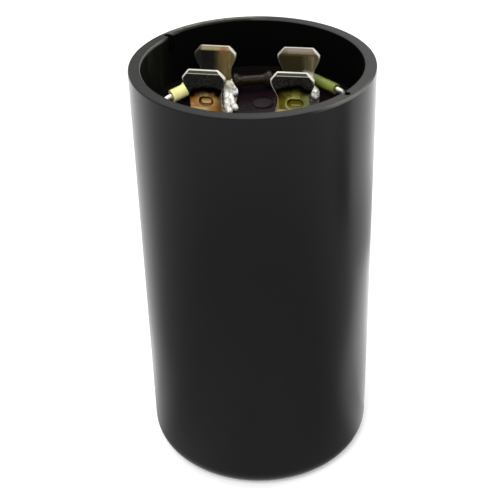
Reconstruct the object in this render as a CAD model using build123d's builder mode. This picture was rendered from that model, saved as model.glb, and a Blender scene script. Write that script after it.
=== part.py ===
"""Motor start capacitor: a moulded phenolic cup closed by a terminal disc set below its rim.

Two fork terminals are riveted through the disc and stand up inside the rim, a bleed resistor with
sleeved leads bridges them, and the wound element stands in the cup on its pad, wired to the
rivets by folded tab straps.

Millimetres, +Z up along the case axis, origin at the centre of the face the case stands on.
Left is -X, right is +X, and the resistor is at the back, +Y.
"""
from build123d import *
import os
from math import radians, tan

# Case: a phenolic cup with a ledge that carries the disc
case_radius = 18.25
case_height = 68.0
rim_wall = 1.8
lower_wall = 2.9
base_thickness = 2.6
base_edge_radius = 3.5
rim_edge_chamfer = 0.35
mouth_edge_chamfer = 0.15
base_recess_radius = 11.0
base_recess_depth = 0.4
notch_width = 1.0
notch_depth = 1.25
notch_height = 3.0
notch_angle = 146.5

# Terminal disc, its gasket and the bead that seals it
disc_recess = 8.5
disc_thickness = 2.2
disc_clearance = 0.1
gasket_thickness = 1.0
gasket_width = 1.7
bead_height = 0.7
bead_width = 0.9

# Fork terminals: one strip of tinned brass each, bent into a U with two quick-connect blades
terminal_spacing = 12.7
blade_width = 6.35
strip_thickness = 0.8
blade_spacing = 8.8
blade_proud = 0.6
bend_radius = 1.0
tip_corner_width = 0.95
tip_corner_height = 1.15
tip_bevel = 0.15
head_height = 1.45
neck_width = 4.6
neck_start = 4.1
neck_end = 5.7
flare_end = 7.1
dimple_length = 2.0
dimple_width = 1.45
dimple_depth = 0.3
dimple_drop = 4.75
fork_turn = {"left": -3.2, "right": -1.6}

# Rivets, and the washers under the disc
shank_radius = 1.25
shank_clearance = 0.05
rivet_head_radius = 1.85
rivet_head_height = 0.8
rivet_head_bevel = 0.5
rivet_tail_radius = 1.9
rivet_tail_height = 0.7
rivet_tail_bevel = 0.35
washer_radius = 2.6
washer_thickness = 0.6

# Vent plug
vent_x = 1.0
vent_y = 3.9
vent_head_radius = 1.6
vent_head_height = 0.4
vent_head_bevel = 0.25
vent_stem_radius = 1.1
vent_barb_radius = 1.5
vent_barb_height = 0.7

# Bleed resistor: a small body, two round leads and the sleeves on them
resistor_x = -1.1
resistor_gap = 3.95
resistor_turn = 14.0
resistor_length = 6.5
resistor_end_radius = 1.3
resistor_waist_radius = 0.8
resistor_end_length = 0.9
resistor_end_bevel = 0.35
resistor_shoulder = 0.8
resistor_lift = 1.65
lead_radius = 0.5
lead_bend_limit = 2.0
lead_elbow = {"left": (0.18, 1.3, 0.15), "right": (-0.19, 4.8, 0.25)}
lead_knee = {"left": [(0.2, -1.5, 0.85)], "right": []}
lead_return = {"left": (0.69, -3.9, -0.4), "right": (0.66, -0.6, 0.05)}
sleeve_radius = {"left": 1.0, "right": 0.8}
sleeve_bore_clearance = 0.05
sleeve_setback = 0.35
sleeve_share = {"left": 0.53, "right": 0.65}
joint_radius = 1.05
joint_height = 1.1
joint_taper = 22.0
joint_inset = 1.08
joint_y = -2.3
joint_clearance = 0.05

# Wound element and what holds it
winding_headroom = 7.7
winding_bore = 2.5
wrap_thickness = 0.3
insulator_thickness = 0.5
insulator_inset = 0.4
pad_thickness = 1.0
potting_height = 12.0
potting_wall = 1.15
tab_width = 5.0
tab_thickness = 0.3
tab_bend_radius = 0.7
tab_overhang = 2.5
tab_fold_x = 2.9
tab_entry_x = 7.9
tab_entry_depth = 3.0
tab_clearance = 0.1

# Heights and places worked out from the sizes above
mouth_radius = case_radius - rim_wall
inner_radius = case_radius - lower_wall
disc_top = case_height - disc_recess
disc_bottom = disc_top - disc_thickness
disc_radius = mouth_radius - disc_clearance
ledge_z = disc_bottom - gasket_thickness
blade_top = case_height + blade_proud
fork_base_top = disc_top + strip_thickness
rivet_hole_radius = shank_radius + shank_clearance
rivet_x = terminal_spacing / 2
fork_edge_x = rivet_x + blade_width / 2
fork_back_y = (blade_spacing + strip_thickness) / 2
side_room = mouth_radius - fork_edge_x
joint_x = fork_edge_x - joint_inset
tab_z = disc_bottom - tab_thickness / 2
washer_top = disc_bottom - tab_thickness
washer_bottom = washer_top - washer_thickness
pad_top = base_thickness + pad_thickness
winding_top = disc_bottom - winding_headroom
winding_length = winding_top - pad_top
wrap_radius = inner_radius - potting_wall
winding_radius = wrap_radius - wrap_thickness
tab_fold_z = (washer_bottom - rivet_tail_height + winding_top + insulator_thickness) / 2
resistor_y = fork_back_y + resistor_gap
resistor_z = disc_top + resistor_lift
joint_z = fork_base_top + joint_clearance + lead_radius

sides = {"left": -1, "right": 1}
written = []


def write(part, label):
    """Label a finished piece and write its STEP file."""
    part.label = label
    export_step(part, f"parts/{label}.step")
    written.append(label)
    print(f"{label:24s} {part.volume:10.2f} mm3, solids {len(part.solids())}")


os.makedirs("parts", exist_ok=True)


# ---- Case: one revolved moulding, with two small notches cut in the inner edge of the rim ----
with BuildPart() as case:
    with BuildSketch(Plane.XZ):
        with BuildLine():
            FilletPolyline(
                (0, base_recess_depth),
                (base_recess_radius, base_recess_depth),
                (base_recess_radius + base_recess_depth, 0),
                (case_radius, 0),
                (case_radius, case_height - rim_edge_chamfer),
                (case_radius - rim_edge_chamfer, case_height),
                (mouth_radius + mouth_edge_chamfer, case_height),
                (mouth_radius, case_height - mouth_edge_chamfer),
                (mouth_radius, ledge_z),
                (inner_radius, ledge_z),
                (inner_radius, base_thickness),
                (0, base_thickness),
                radius=[0, 0, 0, base_edge_radius, *[0] * 8],
                close=True,
            )
        make_face()
    revolve(axis=Axis.Z)
    with BuildSketch(Plane.XY.offset(case_height)):
        with PolarLocations(mouth_radius, 2, start_angle=notch_angle):
            SlotOverall(2 * notch_depth, notch_width)
    extrude(amount=-notch_height, mode=Mode.SUBTRACT)
write(case.part, "case")


# ---- Terminal disc: a flat moulding on the ledge's gasket ----
with BuildPart() as terminal_disc:
    with BuildSketch(Plane.XY.offset(disc_bottom)):
        Circle(disc_radius)
        with Locations(*[(side * rivet_x, 0) for side in sides.values()]):
            Circle(rivet_hole_radius, mode=Mode.SUBTRACT)
        with Locations((vent_x, vent_y)):
            Circle(vent_stem_radius, mode=Mode.SUBTRACT)
    extrude(amount=disc_thickness)
write(terminal_disc.part, "terminal_disc")


# ---- Disc gasket: a flat rubber ring between the ledge and the disc ----
with BuildPart() as disc_gasket:
    with BuildSketch(Plane.XY.offset(ledge_z)):
        Circle(disc_radius)
        Circle(disc_radius - gasket_width, mode=Mode.SUBTRACT)
    extrude(amount=gasket_thickness)
write(disc_gasket.part, "disc_gasket")


# ---- Seal bead: sealing compound run round the corner between the disc and the wall ----
with BuildPart() as seal_bead:
    with BuildSketch(Plane.XZ):
        with BuildLine():
            Polyline(
                (mouth_radius, disc_top),
                (mouth_radius, disc_top + bead_height),
                (mouth_radius - bead_width, disc_top),
                close=True,
            )
        make_face()
    revolve(axis=Axis.Z)
write(seal_bead.part, "seal_bead")


# ---- Fork terminals ----
def blade_outline():
    """Closed outline of a fork seen from the front: mushroom tip, waisted neck, full-width foot."""
    half = blade_width / 2
    neck = neck_width / 2
    head_mid = ((half + neck) / 2, blade_top - (head_height + neck_start) / 2)
    foot_mid = ((half + neck) / 2, blade_top - (neck_end + flare_end) / 2)
    tip = (half - tip_corner_width, blade_top)
    corner = (half, blade_top - tip_corner_height)
    head_end = (half, blade_top - head_height)
    neck_top = (neck, blade_top - neck_start)
    neck_bottom = (neck, blade_top - neck_end)
    foot = (half, blade_top - flare_end)
    with BuildLine() as outline:
        Polyline((0, blade_top), tip, corner, head_end)
        TangentArc(head_end, head_mid, tangent=(0, -1))
        TangentArc(neck_top, head_mid, tangent=(0, 1))
        Line(neck_top, neck_bottom)
        TangentArc(neck_bottom, foot_mid, tangent=(0, -1))
        TangentArc(foot, foot_mid, tangent=(0, 1))
        Polyline(foot, (half, disc_top), (0, disc_top))
        mirror(about=Plane.YZ)
    return outline.line


def fork_terminal(centre_x, turn):
    """One U-shaped stamping: bent strip, blades cut to outline, bevelled tips, pressed dimples."""
    reach = blade_spacing
    with BuildPart() as fork:
        with BuildSketch(Plane.YZ):
            with BuildLine():
                FilletPolyline(
                    (-blade_spacing / 2, blade_top),
                    (-blade_spacing / 2, disc_top + strip_thickness / 2),
                    (blade_spacing / 2, disc_top + strip_thickness / 2),
                    (blade_spacing / 2, blade_top),
                    radius=bend_radius,
                )
            trace(line_width=strip_thickness)
        extrude(amount=blade_width / 2, both=True)
        with BuildSketch(Plane.XZ):
            add(make_face(blade_outline().edges()))
        extrude(amount=reach, both=True, mode=Mode.INTERSECT)
        tip_edges = fork.edges().filter_by(
            lambda e: e.center().Z > blade_top - tip_corner_height and abs((e % 0.5).Y) < 0.5
        )
        chamfer(tip_edges, tip_bevel)
        for facing in (-1, 1):
            outer = Plane(
                origin=(0, facing * fork_back_y, blade_top - dimple_drop), x_dir=(1, 0, 0),
                z_dir=(0, facing, 0),
            )
            with BuildSketch(outer.offset(-strip_thickness)):
                SlotOverall(dimple_length, dimple_width)
            extrude(amount=-dimple_depth, taper=12)
            with BuildSketch(outer):
                SlotOverall(dimple_length, dimple_width)
            extrude(amount=-dimple_depth, mode=Mode.SUBTRACT)
        with BuildSketch(Plane.XY.offset(disc_top)):
            Circle(rivet_hole_radius)
        extrude(amount=strip_thickness, mode=Mode.SUBTRACT)
    return fork.part.moved(Location((centre_x, 0, 0), (0, 0, turn)))


for side_name, side in sides.items():
    write(fork_terminal(side * rivet_x, fork_turn[side_name]), f"fork_terminal_{side_name}")


# ---- Terminal rivets: domed head on the fork, upset tail under the washer ----
for side_name, side in sides.items():
    head_top = fork_base_top + rivet_head_height
    tail_end = washer_bottom - rivet_tail_height
    with BuildPart() as rivet:
        with BuildSketch(Plane.XZ):
            with BuildLine():
                Polyline(
                    (0, tail_end),
                    (rivet_tail_radius - rivet_tail_bevel, tail_end),
                    (rivet_tail_radius, tail_end + rivet_tail_bevel),
                    (rivet_tail_radius, washer_bottom),
                    (shank_radius, washer_bottom),
                    (shank_radius, fork_base_top),
                    (rivet_head_radius, fork_base_top),
                    (rivet_head_radius, head_top - rivet_head_bevel),
                    (rivet_head_radius - rivet_head_bevel, head_top),
                    (0, head_top),
                    close=True,
                )
            make_face()
        revolve(axis=Axis.Z)
    write(rivet.part.moved(Location((side * rivet_x, 0, 0))), f"terminal_rivet_{side_name}")


# ---- Washers under the tab straps ----
for side_name, side in sides.items():
    with BuildPart() as washer:
        with BuildSketch(Plane.XY.offset(washer_bottom)):
            with Locations((side * rivet_x, 0)):
                Circle(washer_radius)
                Circle(rivet_hole_radius, mode=Mode.SUBTRACT)
        extrude(amount=washer_thickness)
    write(washer.part, f"rivet_washer_{side_name}")


# ---- Vent plug: a low rubber button with a barb under the disc ----
vent_top = disc_top + vent_head_height
with BuildPart() as vent_plug:
    vent_plane = Plane(origin=(vent_x, vent_y, 0), x_dir=(1, 0, 0), z_dir=(0, -1, 0))
    with BuildSketch(vent_plane):
        with BuildLine():
            Polyline(
                (0, disc_bottom - vent_barb_height),
                (vent_stem_radius, disc_bottom - vent_barb_height),
                (vent_barb_radius, disc_bottom),
                (vent_stem_radius, disc_bottom),
                (vent_stem_radius, disc_top),
                (vent_head_radius, disc_top),
                (vent_head_radius, vent_top - vent_head_bevel),
                (vent_head_radius - vent_head_bevel, vent_top),
                (0, vent_top),
                close=True,
            )
        make_face()
    revolve(axis=Axis((vent_x, vent_y, 0), (0, 0, 1)))
write(vent_plug.part, "vent_plug")


# ---- Bleed resistor body: fuller at both ends than at its waist ----
resistor_axis = Vector(1, 0, 0).rotate(Axis.Z, resistor_turn)
resistor_centre = Vector(resistor_x, resistor_y, resistor_z)
with BuildPart() as resistor_body:
    half_length = resistor_length / 2
    cap_end = half_length - resistor_end_length
    waist_end = cap_end - resistor_shoulder
    with BuildSketch(Plane(origin=resistor_centre, x_dir=resistor_axis, z_dir=(0, 0, 1))):
        with BuildLine():
            Polyline(
                (0, 0),
                (half_length, 0),
                (half_length, resistor_end_radius - resistor_end_bevel),
                (half_length - resistor_end_bevel, resistor_end_radius),
                (cap_end, resistor_end_radius),
                (waist_end, resistor_waist_radius),
                (0, resistor_waist_radius),
            )
            mirror(about=Plane.YZ)
        make_face()
    revolve(axis=Axis(resistor_centre, resistor_axis))
write(resistor_body.part, "resistor_body")


# ---- Leads and sleeves: each runs behind its fork, round the outer side and back to the base ----
def lead_points(side_name, side):
    """Corners of a lead: the body's end, the elbow behind the fork, any knee, the turn back, the joint.

    A corner is given as a share of the way from the fork's outer edge to the wall, a distance
    behind the fork's back, and a height over the body's axis.
    """
    points = [resistor_centre + resistor_axis * (side * resistor_length / 2)]
    formed = [lead_elbow[side_name], *lead_knee[side_name], lead_return[side_name]]
    for share, behind, rise in formed:
        across = side * (fork_edge_x + share * side_room)
        points.append(Vector(across, fork_back_y + behind, resistor_z + rise))
    points.append(Vector(side * joint_x, joint_y, joint_z))
    return points


def bend_radii(points):
    """Radius for each corner of a route, as large as its two runs and the lead's limit allow."""
    radii = []
    for before, corner, after in zip(points, points[1:], points[2:]):
        turn = radians((corner - before).get_angle(after - corner))
        run = min((corner - before).length, (after - corner).length)
        radii.append(min(lead_bend_limit, 0.45 * run / tan(turn / 2)))
    return radii


def lead_path(points, radii):
    """Straight runs joined by tangent arcs."""
    with BuildLine() as path:
        FilletPolyline(*points, radius=radii)
    return path


def sweep_round(path, radius, bore=0.0):
    """A round wire, or a tube with a bore, along a path."""
    with BuildPart() as swept:
        with BuildSketch(Plane(origin=path.line @ 0, z_dir=path.line % 0)):
            Circle(radius)
            if bore > 0:
                Circle(bore, mode=Mode.SUBTRACT)
        sweep(path=path.line)
    return swept.part


leads = {}
for side_name, side in sides.items():
    points = lead_points(side_name, side)
    radii = bend_radii(points)
    with BuildPart() as lead:
        add(sweep_round(lead_path(points, radii), lead_radius))
        add(resistor_body.part, mode=Mode.SUBTRACT)
    leads[side_name] = lead.part
    write(lead.part, f"resistor_lead_{side_name}")

    body_end, *bends, turn_back, joint = points
    sleeve_start = body_end + (bends[0] - body_end).normalized() * sleeve_setback
    sleeve_end = bends[-1] + (turn_back - bends[-1]) * sleeve_share[side_name]
    sleeve_path = lead_path([sleeve_start, *bends, sleeve_end], radii[:-1])
    sleeve = sweep_round(sleeve_path, sleeve_radius[side_name], lead_radius + sleeve_bore_clearance)
    write(sleeve, f"lead_sleeve_{side_name}")


# ---- Solder joints: a tapered mound over each lead's end on its fork's base ----
for side_name, side in sides.items():
    centre = (side * joint_x, joint_y, fork_base_top)
    with BuildPart() as solder:
        with BuildSketch(Plane(origin=centre)):
            Circle(joint_radius)
        extrude(amount=joint_height, taper=joint_taper)
        add(leads[side_name], mode=Mode.SUBTRACT)
    write(solder.part, f"solder_joint_{side_name}")


# ---- Wound element: foil and paper rolled into one cylinder, slotted where the tabs enter ----
with BuildPart() as winding:
    with BuildSketch(Plane.XY.offset(pad_top)):
        Circle(winding_radius)
        Circle(winding_bore, mode=Mode.SUBTRACT)
    extrude(amount=winding_length)
    with BuildSketch(Plane.XY.offset(winding_top)):
        with Locations(*[(side * tab_entry_x, 0) for side in sides.values()]):
            Rectangle(tab_thickness, tab_width)
    extrude(amount=-tab_entry_depth, mode=Mode.SUBTRACT)
write(winding.part, "winding")


# ---- Paper wrap round the element ----
with BuildPart() as winding_wrap:
    with BuildSketch(Plane.XY.offset(pad_top)):
        Circle(wrap_radius)
        Circle(winding_radius, mode=Mode.SUBTRACT)
    extrude(amount=winding_length)
write(winding_wrap.part, "winding_wrap")


# ---- Insulating disc on the element, slotted for the tabs ----
with BuildPart() as top_insulator:
    with BuildSketch(Plane.XY.offset(winding_top)):
        Circle(winding_radius - insulator_inset)
        with Locations(*[(side * tab_entry_x, 0) for side in sides.values()]):
            Rectangle(tab_thickness + 2 * tab_clearance, tab_width + 2 * tab_clearance, mode=Mode.SUBTRACT)
    extrude(amount=insulator_thickness)
write(top_insulator.part, "top_insulator")


# ---- Tab straps: from under each rivet, folded once, down into the element ----
for tab_name, side in {"anode_tab": -1, "cathode_tab": 1}.items():
    with BuildPart() as tab:
        with BuildSketch(Plane.XZ):
            with BuildLine():
                FilletPolyline(
                    (side * (rivet_x + tab_overhang), tab_z),
                    (side * tab_fold_x, tab_z),
                    (side * tab_fold_x, tab_fold_z),
                    (side * tab_entry_x, tab_fold_z),
                    (side * tab_entry_x, winding_top - tab_entry_depth),
                    radius=tab_bend_radius,
                )
            trace(line_width=tab_thickness)
        extrude(amount=tab_width / 2, both=True)
        with BuildSketch(Plane.XY.offset(washer_top)):
            with Locations((side * rivet_x, 0)):
                Circle(rivet_hole_radius)
        extrude(amount=tab_thickness, mode=Mode.SUBTRACT)
    write(tab.part, tab_name)


# ---- Pad under the element ----
with BuildPart() as bottom_pad:
    with BuildSketch(Plane.XY.offset(base_thickness)):
        Circle(wrap_radius)
    extrude(amount=pad_thickness)
write(bottom_pad.part, "bottom_pad")


# ---- Potting: pitch poured round the foot of the element ----
with BuildPart() as potting:
    with BuildSketch(Plane.XY.offset(base_thickness)):
        Circle(inner_radius)
        Circle(wrap_radius, mode=Mode.SUBTRACT)
    extrude(amount=potting_height)
write(potting.part, "potting")

print(f"{len(written)} nodes")
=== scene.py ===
"""Motor start capacitor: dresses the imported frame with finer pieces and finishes, and sets the stage."""

import logging
import math
from dataclasses import dataclass, field
from enum import Enum
from typing import Callable, Mapping, Sequence

import bmesh
import bpy
from mathutils import Matrix, Vector, noise


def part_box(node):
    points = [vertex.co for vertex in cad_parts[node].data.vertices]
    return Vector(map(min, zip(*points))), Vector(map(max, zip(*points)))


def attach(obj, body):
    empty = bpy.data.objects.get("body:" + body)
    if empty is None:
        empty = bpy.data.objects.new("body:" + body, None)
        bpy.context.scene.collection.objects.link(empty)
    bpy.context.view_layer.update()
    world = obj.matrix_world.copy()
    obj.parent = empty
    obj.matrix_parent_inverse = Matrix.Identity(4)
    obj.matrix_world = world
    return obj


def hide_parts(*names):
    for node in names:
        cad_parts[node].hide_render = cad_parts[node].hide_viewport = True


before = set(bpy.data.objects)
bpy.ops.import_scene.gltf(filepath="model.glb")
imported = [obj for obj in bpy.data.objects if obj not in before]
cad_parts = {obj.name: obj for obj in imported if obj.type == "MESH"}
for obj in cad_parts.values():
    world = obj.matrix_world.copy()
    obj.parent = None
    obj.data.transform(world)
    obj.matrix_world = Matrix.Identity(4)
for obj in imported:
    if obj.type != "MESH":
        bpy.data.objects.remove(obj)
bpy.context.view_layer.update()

log = logging.getLogger("start_capacitor")

MM = 0.001
Point2 = tuple[float, float]
Point3 = tuple[float, float, float]
Material = bpy.types.Material
Mesh = bpy.types.Mesh
Piece = bpy.types.Object
Socket = bpy.types.NodeSocket


class Side(Enum):
    """Which half of the terminal end a piece belongs to; the value is the sign of its X."""

    LEFT = -1
    RIGHT = 1

    @property
    def label(self) -> str:
        """The word that the side's node names end in."""
        return self.name.lower()


class Step(Enum):
    """A step that the node trees often take: a node's type and the settings that make it that step."""

    ADD = ("ShaderNodeMath", {"operation": "ADD"})
    SUBTRACT = ("ShaderNodeMath", {"operation": "SUBTRACT"})
    MULTIPLY = ("ShaderNodeMath", {"operation": "MULTIPLY"})
    MULTIPLY_ADD = ("ShaderNodeMath", {"operation": "MULTIPLY_ADD"})
    DIVIDE = ("ShaderNodeMath", {"operation": "DIVIDE"})
    LARGER = ("ShaderNodeMath", {"operation": "MAXIMUM"})
    SMALLER = ("ShaderNodeMath", {"operation": "MINIMUM"})
    ABSOLUTE = ("ShaderNodeMath", {"operation": "ABSOLUTE"})
    BEARING = ("ShaderNodeMath", {"operation": "ARCTAN2"})
    LENGTH = ("ShaderNodeVectorMath", {"operation": "LENGTH"})
    SCALE = ("ShaderNodeVectorMath", {"operation": "SCALE"})
    JOIN = ("ShaderNodeCombineXYZ", {})
    SPLIT = ("ShaderNodeSeparateXYZ", {})
    FIT = ("ShaderNodeMapRange", {})
    RAMP = ("ShaderNodeMapRange", {"interpolation_type": "SMOOTHSTEP"})
    MIX = ("ShaderNodeMix", {"data_type": "FLOAT"})
    BLEND = ("ShaderNodeMix", {"data_type": "RGBA"})
    PATCHES = ("ShaderNodeTexNoise", {"noise_dimensions": "4D", "Detail": 1.0})
    BUMP = ("ShaderNodeBump", {})


# ---- small tools


def linear(hex_colour: str) -> tuple[float, float, float, float]:
    """Turn an sRGB hex colour into the linear values that a shader takes.

    Args:
        hex_colour: Six hex digits after a hash.

    Returns:
        Linear red, green, blue and an alpha of one.
    """
    parts = [int(hex_colour[i : i + 2], 16) / 255 for i in (1, 3, 5)]
    red, green, blue = (c / 12.92 if c <= 0.04045 else ((c + 0.055) / 1.055) ** 2.4 for c in parts)
    return red, green, blue, 1.0


class Wiring:
    """A node tree under construction."""

    def __init__(self, tree: bpy.types.NodeTree) -> None:
        """Start with the tree empty."""
        self.tree = tree
        tree.nodes.clear()

    def fill(self, socket: Socket, value: object) -> None:
        """Link an output to an input, or set the input's value; a text with a hash is a colour."""
        if isinstance(value, bpy.types.NodeSocket):
            self.tree.links.new(value, socket)
        else:
            is_colour = isinstance(value, str) and value.startswith("#")
            socket.default_value = linear(value) if is_colour else value

    def add(self, kind: Step | str, *inputs: object, **settings: object) -> Socket | None:
        """Add a node, set it up, and set or link its inputs.

        Args:
            kind: A step, or the type name of any other node.
            *inputs: A value, a colour or an output for each of the inputs in use, in order.
            **settings: Inputs by name, where the name starts with a capital, and the node's own settings.

        Returns:
            The node's first output in use, which leads to the node and its other outputs.
        """
        name, fixed = kind.value if isinstance(kind, Step) else (kind, {})
        made = self.tree.nodes.new(name)
        settings = {**fixed, **settings}
        for key in [key for key in settings if key[0].islower()]:
            setattr(made, key, settings.pop(key))
        for socket, value in zip([socket for socket in made.inputs if socket.enabled], inputs):
            self.fill(socket, value)
        for key, value in settings.items():
            self.fill(made.inputs[key.replace("_", " ")], value)
        return next((socket for socket in made.outputs if socket.enabled), None)

    def mask(self, *parts: Socket | float | tuple[Socket, float, float]) -> Socket:
        """Multiply masks, one inside another.

        Args:
            *parts: A mask, a strength, or three values: a smooth rise of the first from 0 at the second to
                1 at the third, whichever of those two is larger.

        Returns:
            The whole mask.
        """
        masks = [self.add(Step.RAMP, *part) if isinstance(part, tuple) else part for part in parts]
        whole = masks[0]
        for mask in masks[1:]:
            whole = self.add(Step.MULTIPLY, whole, mask)
        return whole

    def background_share(self) -> Socket:
        """1 for rays that show the background itself: seen straight, in a mirror or through glass."""
        rays = self.add("ShaderNodeLightPath").node.outputs
        seen = self.add(Step.LARGER, rays["Is Camera Ray"], rays["Is Glossy Ray"])
        return self.add(Step.LARGER, seen, rays["Is Transmission Ray"])


def smooth_step(value: float, start: float, end: float) -> float:
    """Rise smoothly from 0 at start to 1 at end, whichever of the two is larger."""
    t = min(1.0, max(0.0, (value - start) / (end - start)))
    return t * t * (3 - 2 * t)


def rounded(points: Sequence[Point2], radii: Sequence[float], steps: int) -> list[Point2]:
    """Round the corners of a closed outline.

    Args:
        points: Corners in order.
        radii: One radius for each corner, 0 for a sharp one.
        steps: Straight pieces in each rounded corner.

    Returns:
        The outline's points.
    """
    outline: list[Point2] = []
    for i, corner in enumerate(points):
        here = Vector(corner)
        if radii[i] <= 0:
            outline.append((here.x, here.y))
            continue
        before = (Vector(points[i - 1]) - here).normalized()
        after = (Vector(points[(i + 1) % len(points)]) - here).normalized()
        half = before.angle(after) / 2
        reach = radii[i] / math.tan(half)
        centre = here + (before + after).normalized() * (radii[i] / math.sin(half))
        first = here + before * reach - centre
        sweep = first.angle_signed(here + after * reach - centre)
        for k in range(steps + 1):
            turn = -sweep * k / steps
            c, s = math.cos(turn), math.sin(turn)
            turned = Vector((first.x * c - first.y * s, first.x * s + first.y * c))
            outline.append((centre.x + turned.x, centre.y + turned.y))
    return outline


def domed(radius: float, foot: float, wall: float, rise: float, steps: int) -> list[Point2]:
    """Draw half of a domed head's section.

    Args:
        radius: Half the head's width.
        foot: Height that the head stands on.
        wall: Height of its upright edge.
        rise: Height of the dome over that edge.
        steps: Straight pieces in the dome.

    Returns:
        Radius and height of each point, from the middle of the foot to the top.
    """
    turns = [math.pi / 2 * k / steps for k in range(steps + 1)]
    dome = [(radius * math.cos(a), foot + wall + rise * math.sin(a)) for a in turns]
    return [(0.0, foot), (radius, foot)] + dome


def shown(name: str, data: bpy.types.ID) -> Piece:
    """Make an object at the origin and link it to the scene."""
    made = bpy.data.objects.new(name, data)
    bpy.context.scene.collection.objects.link(made)
    return made


def settle(piece: Piece) -> Mesh:
    """Turn what a piece's modifiers make into its plain mesh, and remove them."""
    depsgraph = bpy.context.evaluated_depsgraph_get()
    mesh = bpy.data.meshes.new_from_object(piece.evaluated_get(depsgraph))
    piece.modifiers.clear()
    piece.data = mesh
    return mesh


def wire_mesh(name: str, points: Sequence[Sequence[float]], closed: bool, bends: Sequence[float] = ()) -> Mesh:
    """Make a mesh of edges only, as the profile or route that a geometry tree starts from.

    Args:
        name: The mesh's name.
        points: Points in millimetres.
        closed: Whether the last point joins the first.
        bends: A bend radius for each point, kept as the attribute that a route's tree reads.

    Returns:
        The mesh, in metres.
    """
    count = len(points)
    edges = [(i, (i + 1) % count) for i in range(count if closed else count - 1)]
    mesh = bpy.data.meshes.new(name)
    mesh.from_pydata([tuple(c * MM for c in p) for p in points], edges, [])
    if bends:
        mesh.attributes.new("bend", "FLOAT", "POINT").data.foreach_set("value", [b * MM for b in bends])
    return mesh


def ring_faces(rows: int, around: int) -> list[tuple[int, ...]]:
    """Join rows of points, each a ring, into a closed skin with a face at both ends."""
    faces: list[tuple[int, ...]] = []
    for here in range(0, (rows - 1) * around, around):
        for j in range(around):
            k = (j + 1) % around
            faces.append((here + j, here + k, here + around + k, here + around + j))
    return faces + [tuple(reversed(range(around))), tuple((rows - 1) * around + j for j in range(around))]


def lofted(rows: int, around: int, place: Callable[[int, float], Vector]) -> list[Vector]:
    """Place the rings of a skin, each point by its row and its angle round the ring."""
    return [place(row, math.tau * j / around) for row in range(rows) for j in range(around)]


def solid(
    name: str, vertices: Sequence[Sequence[float]], faces: Sequence[Sequence[int]], finish: Material,
    sharp_angle: float = 50.0, marks: Mapping[str, Sequence[Sequence[float]]] | None = None,
) -> Piece:
    """Make a piece from vertices and faces, with outward faces and sharp edges by angle.

    Args:
        name: The piece's name.
        vertices: Points in millimetres.
        faces: Vertex numbers of each face.
        finish: The piece's material.
        sharp_angle: Degrees between faces past which their edge is sharp.
        marks: A vector for each vertex under each attribute's name, for the finish to read.

    Returns:
        The piece, linked to the scene.
    """
    mesh = bpy.data.meshes.new(name)
    mesh.from_pydata([tuple(c * MM for c in v) for v in vertices], [], faces)
    for label, values in (marks or {}).items():
        layer = mesh.attributes.new(label, "FLOAT_VECTOR", "POINT")
        layer.data.foreach_set("vector", [c for value in values for c in value])
    work = bmesh.new()
    work.from_mesh(mesh)
    bmesh.ops.remove_doubles(work, verts=work.verts, dist=1e-7)
    bmesh.ops.recalc_face_normals(work, faces=work.faces)
    work.to_mesh(mesh)
    work.free()
    mesh.shade_smooth()
    mesh.set_sharp_from_angle(angle=math.radians(sharp_angle))
    mesh.materials.append(finish)
    return shown(name, mesh)


def centre_of(node: str) -> Vector:
    """The middle of a CAD node's box, in millimetres."""
    low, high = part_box(node)
    return (low + high) / 2 / MM


def seat(piece: Piece, slot: str, *nodes: str) -> None:
    """Fix a piece to the capacitor, hide the CAD nodes that it stands for, and log them."""
    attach(piece, "root")
    if nodes:
        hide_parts(*nodes)
    stands_for = ", ".join(nodes) or "nothing"
    log.info("%s: %d faces, stands for %s", piece.name, len(piece.data.polygons), stands_for)


# ---- geometry trees


class GeometryTree(Wiring):
    """A geometry node tree with named inputs, run on a source mesh to grow a plain piece."""

    def __init__(self, name: str, **sizes: str) -> None:
        """Make the empty tree.

        Args:
            name: The tree's name.
            **sizes: Type of each named input, with spaces in its name as underscores.
        """
        super().__init__(bpy.data.node_groups.new(name, "GeometryNodeTree"))
        inputs = {"Geometry": "Geometry", **sizes, "Finish": "Material"}
        for label, kind in inputs.items():
            label = label.replace("_", " ")
            self.tree.interface.new_socket(label, in_out="INPUT", socket_type=f"NodeSocket{kind}")
        self.tree.interface.new_socket("Geometry", in_out="OUTPUT", socket_type="NodeSocketGeometry")
        self.size = self.add("NodeGroupInput").node.outputs

    def finish(self, geometry: Socket, sharp_angle: float = 0.6) -> "GeometryTree":
        """End the tree: shade by angle, realize instances, set the material.

        Args:
            geometry: The shape's socket.
            sharp_angle: Radians between faces past which their edge is sharp.

        Returns:
            The tree itself.
        """
        angle = self.add("GeometryNodeInputMeshEdgeAngle")
        sharp = self.add("FunctionNodeCompare", angle, sharp_angle, operation="GREATER_THAN")
        faces = self.add("GeometryNodeSetShadeSmooth", geometry, domain="FACE", Shade_Smooth=True)
        edges = self.add("GeometryNodeSetShadeSmooth", faces, sharp, domain="EDGE", Shade_Smooth=False)
        whole = self.add("GeometryNodeRealizeInstances", edges)
        self.add("NodeGroupOutput", self.add("GeometryNodeSetMaterial", whole, Material=self.size["Finish"]))
        return self

    def grow(self, name: str, source: Mesh, finish: Material, **sizes: object) -> Piece:
        """Run the tree on a source mesh.

        Args:
            name: The piece's name.
            source: The profile or route.
            finish: The piece's material.
            **sizes: Values of the named inputs, with spaces written as underscores.

        Returns:
            The piece as a plain mesh, linked to the scene.
        """
        piece = shown(name, source)
        modifier = piece.modifiers.new("grow", "NODES")
        modifier.node_group = self.tree
        sockets = [item for item in self.tree.interface.items_tree if item.in_out == "INPUT"]
        keys = {socket.name.replace(" ", "_"): socket.identifier for socket in sockets}
        for label, value in {**sizes, "Finish": finish}.items():
            modifier[keys[label]] = value
        mesh = settle(piece)
        mesh.name = name
        mesh.materials.clear()
        mesh.materials.append(finish)
        return piece


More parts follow.
